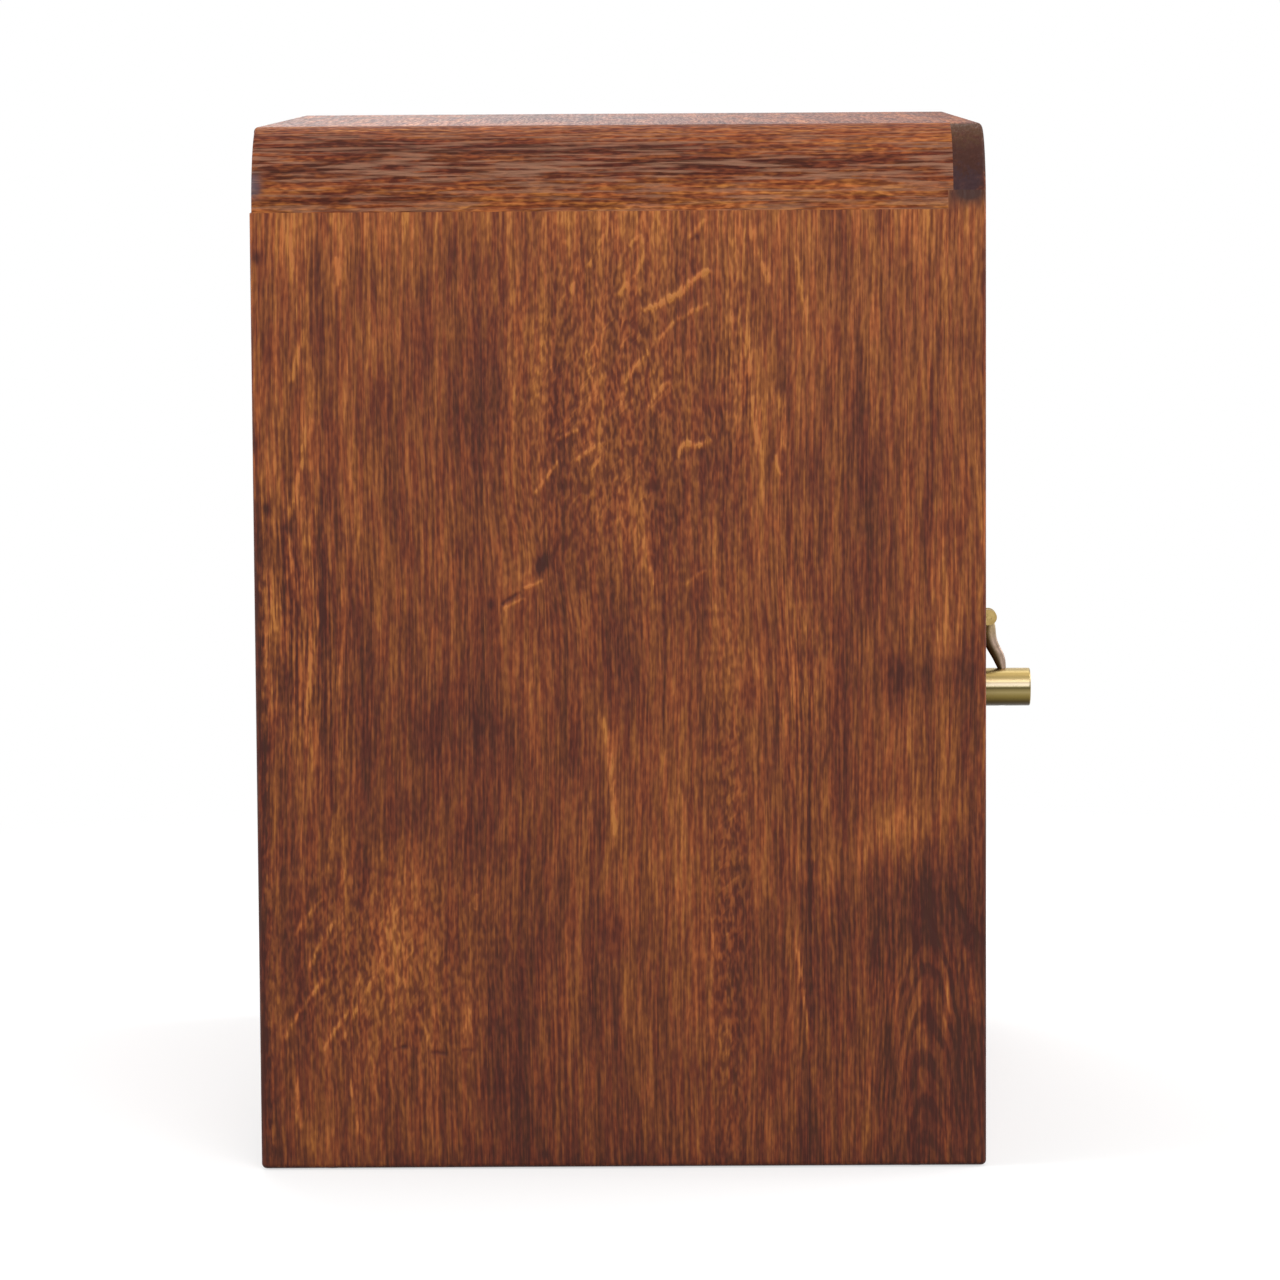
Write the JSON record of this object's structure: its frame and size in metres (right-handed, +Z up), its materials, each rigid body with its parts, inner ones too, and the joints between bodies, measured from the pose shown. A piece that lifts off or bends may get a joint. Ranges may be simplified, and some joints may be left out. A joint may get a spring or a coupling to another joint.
{
  "type": "nightstand",
  "caption": "One-door bedside cabinet with a rounded solid-wood carcass, an inset hinged door, a shelf inside and a brass drop pull.",
  "frame": {"origin": "on the floor, in the middle of the width, and of the depth including the pull", "axes": "+Z up, -Y towards the front (the door's side), +X to the right seen from the front"},
  "size_m": [0.45, 0.3736, 0.5],
  "materials": {
    "stained_wood": "chestnut stain on wire-brushed oak, satin",
    "dowel_wood": "bare beech",
    "panel_wood": "stained veneer on plywood, satin",
    "brass": "satin brass",
    "aged_brass": "dulled brass",
    "steel": "zinc plated",
    "magnet": "sintered ferrite",
    "brown_plastic": "matt brown moulding"
  },
  "bodies": {
    "carcass": {"left_side_board_1": "stained_wood", "left_side_board_2": "stained_wood", "left_side_board_3": "stained_wood", "left_side_board_4": "stained_wood", "right_side_board_1": "stained_wood", "right_side_board_2": "stained_wood", "right_side_board_3": "stained_wood", "right_side_board_4": "stained_wood", "left_corner_block": "stained_wood", "right_corner_block": "stained_wood", "left_stile": "stained_wood", "right_stile": "stained_wood", "top_rail": "stained_wood", "bottom_rail": "stained_wood", "top_board_1": "stained_wood", "top_board_2": "stained_wood", "top_board_3": "stained_wood", "bottom_board_1": "stained_wood", "bottom_board_2": "stained_wood", "bottom_board_3": "stained_wood", "shelf_board_front": "stained_wood", "shelf_board_rear": "stained_wood", "frame_dowels": "dowel_wood", "corner_dowels": "dowel_wood", "bottom_dowels": "dowel_wood", "back_panel": "panel_wood", "upper_hinge_frame_leaf": "brass", "lower_hinge_frame_leaf": "brass", "hinge_pins": "brass", "shelf_pins": "brass", "frame_leaf_screws": "aged_brass", "back_screws": "steel", "catch_screws": "steel", "catch_pole_plates": "steel", "glide_nails": "steel", "catch_magnet": "magnet", "catch_housing": "brown_plastic", "glide_pads": "brown_plastic"},
    "door": {"door_board_1": "stained_wood", "door_board_2": "stained_wood", "door_board_3": "stained_wood", "door_board_4": "stained_wood", "upper_batten": "stained_wood", "lower_batten": "stained_wood", "batten_screws": "steel", "door_leaf_screws": "aged_brass", "upper_hinge_door_leaf": "brass", "lower_hinge_door_leaf": "brass", "strike_plate": "steel", "strike_screws": "steel", "pull_base": "brass", "pull_pin": "brass", "pull_washer": "steel", "pull_nut": "steel"},
    "pull": {"pull_arm": "aged_brass", "pull_grip": "brass", "pull_grip_screw": "aged_brass"}
  },
  "joints": [
    {"name": "door_swing", "type": "hinge", "parent": "carcass", "child": "door", "pos_m": [0.184, -0.16555, 0.255], "axis": [0, 0, 1], "range_deg": [0, 180]},
    {"name": "pull_swing", "type": "hinge", "parent": "door", "child": "pull", "pos_m": [-0.16, -0.16675, 0.2595], "axis": [-1, 0, 0], "range_deg": [0, 90]}
  ]
}
